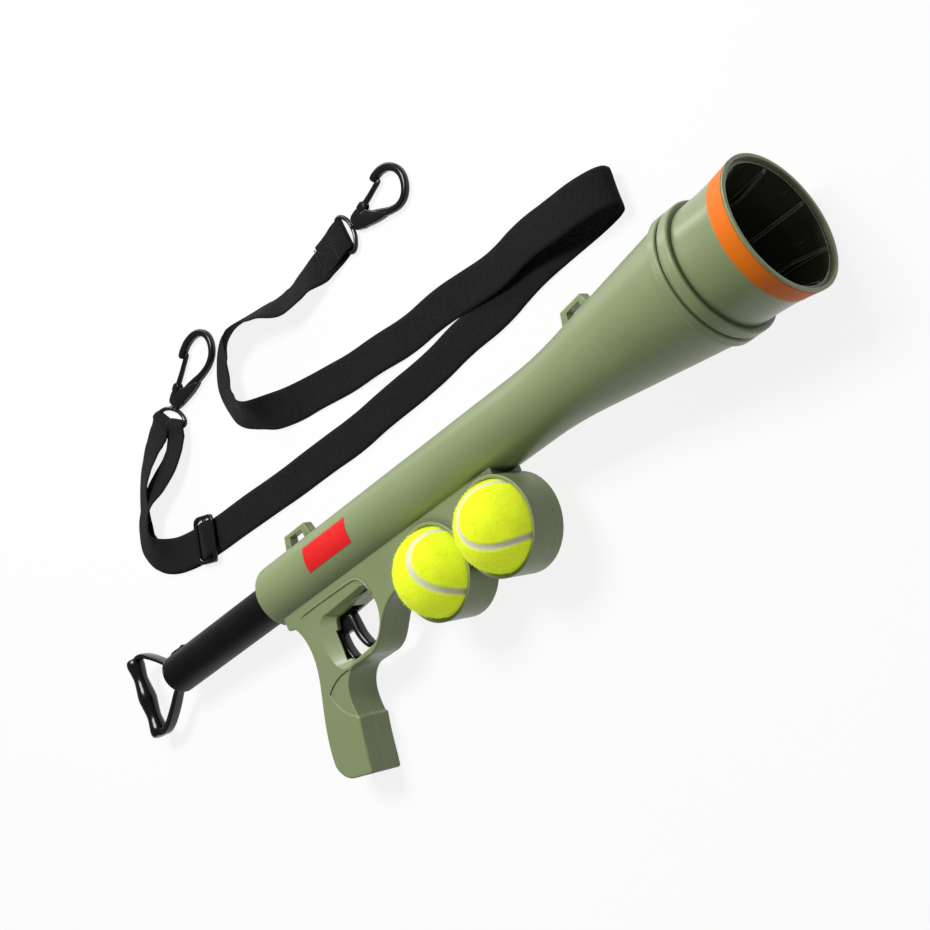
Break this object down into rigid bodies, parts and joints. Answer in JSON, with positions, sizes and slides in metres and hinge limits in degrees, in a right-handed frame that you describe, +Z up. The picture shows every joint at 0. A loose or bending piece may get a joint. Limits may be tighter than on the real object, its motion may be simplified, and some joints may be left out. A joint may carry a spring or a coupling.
{
  "type": "dog tennis ball launcher",
  "caption": "Shoulder-carried pump launcher for tennis balls: pull tube with D handle, trigger, flared mouth, two side ball cups and a clip-on webbing strap, lying on its side",
  "frame": {"origin": "On the floor under the middle of the launcher's own floor box, the strap left out; the launcher lies on its left side as it rests by itself", "axes": "+X runs to the muzzle, +Y to the launcher's top line and the strap beside it, +Z up from the floor, which is the launcher's right side"},
  "size_m": [0.7606, 0.4152, 0.0986],
  "materials": {
    "olive_shell": "moulded olive plastic, fine grain, soft sheen",
    "sleeve_plastic": "olive plastic of the mouth",
    "orange_ring": "orange plastic ring",
    "dark_liner": "very dark green plastic",
    "red_label": "plain red film",
    "black_tube": "black extruded plastic",
    "gloss_black": "glossy black plastic",
    "clear_cylinder": "pale extruded plastic",
    "white_plastic": "pale sliding plastic",
    "seal_rubber": "soft rubber ring",
    "spring_steel": "drawn spring wire",
    "pin_steel": "ground steel pin",
    "screw_steel": "blackened steel screw",
    "ball_felt": "bright yellow felt with pale curved seams",
    "webbing": "black woven webbing",
    "hook_plastic": "black moulded nylon"
  },
  "bodies": {
    "launcher": {"body_shell_right": "olive_shell", "body_shell_left": "olive_shell", "muzzle_sleeve": "sleeve_plastic", "muzzle_band": "orange_ring", "muzzle_liner": "dark_liner", "air_cylinder": "clear_cylinder", "cylinder_rear_cap": "white_plastic", "air_nozzle": "white_plastic", "guide_bush": "white_plastic", "main_spring": "spring_steel", "trigger_pin": "pin_steel", "trigger_spring": "spring_steel", "sear_pin": "pin_steel", "sear_spring": "spring_steel", "housing_screws": "screw_steel", "barrel_label": "red_label", "strap_webbing": "webbing", "strap_return": "webbing", "slide_adjuster": "hook_plastic", "hook_a_swivel": "hook_plastic", "hook_b_swivel": "hook_plastic"},
    "plunger": {"plunger_tube": "black_tube", "piston_head": "white_plastic", "piston_seal": "seal_rubber", "pull_handle": "gloss_black", "handle_pin": "pin_steel"},
    "trigger_lever": {"trigger": "gloss_black"},
    "sear_lever": {"sear": "white_plastic"},
    "ball_front": {"ball_front": "ball_felt"},
    "ball_rear": {"ball_rear": "ball_felt"},
    "hook_a": {"hook_a_body": "hook_plastic", "hook_a_gate_pin": "pin_steel"},
    "gate_a": {"hook_a_gate": "hook_plastic"},
    "hook_b": {"hook_b_body": "hook_plastic", "hook_b_gate_pin": "pin_steel"},
    "gate_b": {"hook_b_gate": "hook_plastic"}
  },
  "joints": [
    {"name": "plunger_pull", "type": "slide", "parent": "launcher", "child": "plunger", "axis": [-0.999, 0, -0.0454], "range_m": [0, 0.12], "stiffness_N_per_m": 250, "springref_m": -0.04, "deforming": ["main_spring"]},
    {"name": "trigger_pull", "type": "hinge", "parent": "launcher", "child": "trigger_lever", "pos_m": [-0.10382, 0.02324, 0.02608], "axis": [0.0453, 0.0754, -0.9961], "range_deg": [0, 10], "stiffness_Nm_per_rad": 0.15, "springref_deg": -11.46, "deforming": ["trigger_spring"]},
    {"name": "sear_release", "type": "hinge", "parent": "launcher", "child": "sear_lever", "pos_m": [-0.05187, 0.02324, 0.02844], "axis": [0.0453, 0.0754, -0.9961], "range_deg": [-8, 0], "stiffness_Nm_per_rad": 0.05, "springref_deg": 11.46, "deforming": ["sear_spring"]},
    {"name": "ball_front_out", "type": "slide", "parent": "launcher", "child": "ball_front", "axis": [-0.0453, -0.0754, 0.9961], "range_m": [0, 0.06]},
    {"name": "ball_rear_out", "type": "slide", "parent": "launcher", "child": "ball_rear", "axis": [-0.0453, -0.0754, 0.9961], "range_m": [0, 0.06]},
    {"name": "hook_a_swivel_turn", "type": "hinge", "parent": "launcher", "child": "hook_a", "pos_m": [0.01909, 0.28648, 0.003], "axis": [0.9903, 0.1392, 0], "continuous": true},
    {"name": "hook_a_gate_open", "type": "hinge", "parent": "hook_a", "child": "gate_a", "pos_m": [0.03119, 0.29384, 0.003], "axis": [0, 0, -1], "range_deg": [0, 22], "stiffness_Nm_per_rad": 0.02, "springref_deg": -11.46},
    {"name": "hook_b_swivel_turn", "type": "hinge", "parent": "launcher", "child": "hook_b", "pos_m": [-0.24271, 0.27024, 0.003], "axis": [0.8572, 0.515, 0], "continuous": true},
    {"name": "hook_b_gate_open", "type": "hinge", "parent": "hook_b", "child": "gate_b", "pos_m": [-0.23445, 0.28174, 0.003], "axis": [0, 0, -1], "range_deg": [0, 22], "stiffness_Nm_per_rad": 0.02, "springref_deg": -11.46}
  ],
  "couplings": [
    {"joint": "sear_release", "follows": "trigger_pull", "ratio": -0.78}
  ]
}
